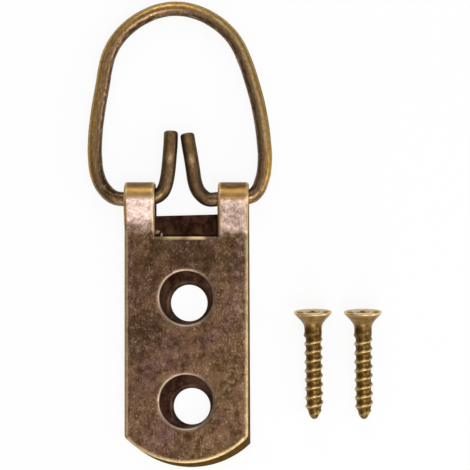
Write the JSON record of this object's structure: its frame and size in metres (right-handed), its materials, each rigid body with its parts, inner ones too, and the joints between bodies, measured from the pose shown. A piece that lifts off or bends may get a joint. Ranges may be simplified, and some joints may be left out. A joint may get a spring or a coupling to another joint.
{
  "type": "picture hanging hook",
  "caption": "Strap hanger: a plate folded double round a loose bent-wire D-ring, with round screw holes, and the countersunk wood screws that fix it to a picture frame.",
  "frame": {"origin": "on the hanger's back face, midway between the two screw holes of the front leaf; the back face is the plane z = 0", "axes": "+X to the right seen from the front, +Y from the rounded end towards the ring, +Z out of the front face"},
  "size_m": [0.0529, 0.0842, 0.0068],
  "materials": {
    "strap_steel": "sheet steel, antique-brass plated, darkened and tumbled so that the edges show gold",
    "ring_wire": "drawn steel wire, antique-brass plated and darkened, with a satin sheen",
    "screw_steel": "rolled-thread steel screw, brass plated, lightly darkened"
  },
  "bodies": {
    "strap": {"folded_strap": "strap_steel"},
    "ring": {"d_ring": "ring_wire"},
    "left_screw": {"screw_left": "screw_steel"},
    "right_screw": {"screw_right": "screw_steel"}
  },
  "joints": [
    {"name": "ring_swing", "type": "hinge", "parent": "strap", "child": "ring", "pos_m": [0, 0.0273, 0.00288], "axis": [1, 0, 0], "range_deg": [0, 173]},
    {"name": "screw_left_lift", "type": "slide", "parent": "strap", "child": "left_screw", "axis": [0, 0, 1], "range_m": [0, 0.03]},
    {"name": "screw_right_lift", "type": "slide", "parent": "strap", "child": "right_screw", "axis": [0, 0, 1], "range_m": [0, 0.03]}
  ]
}
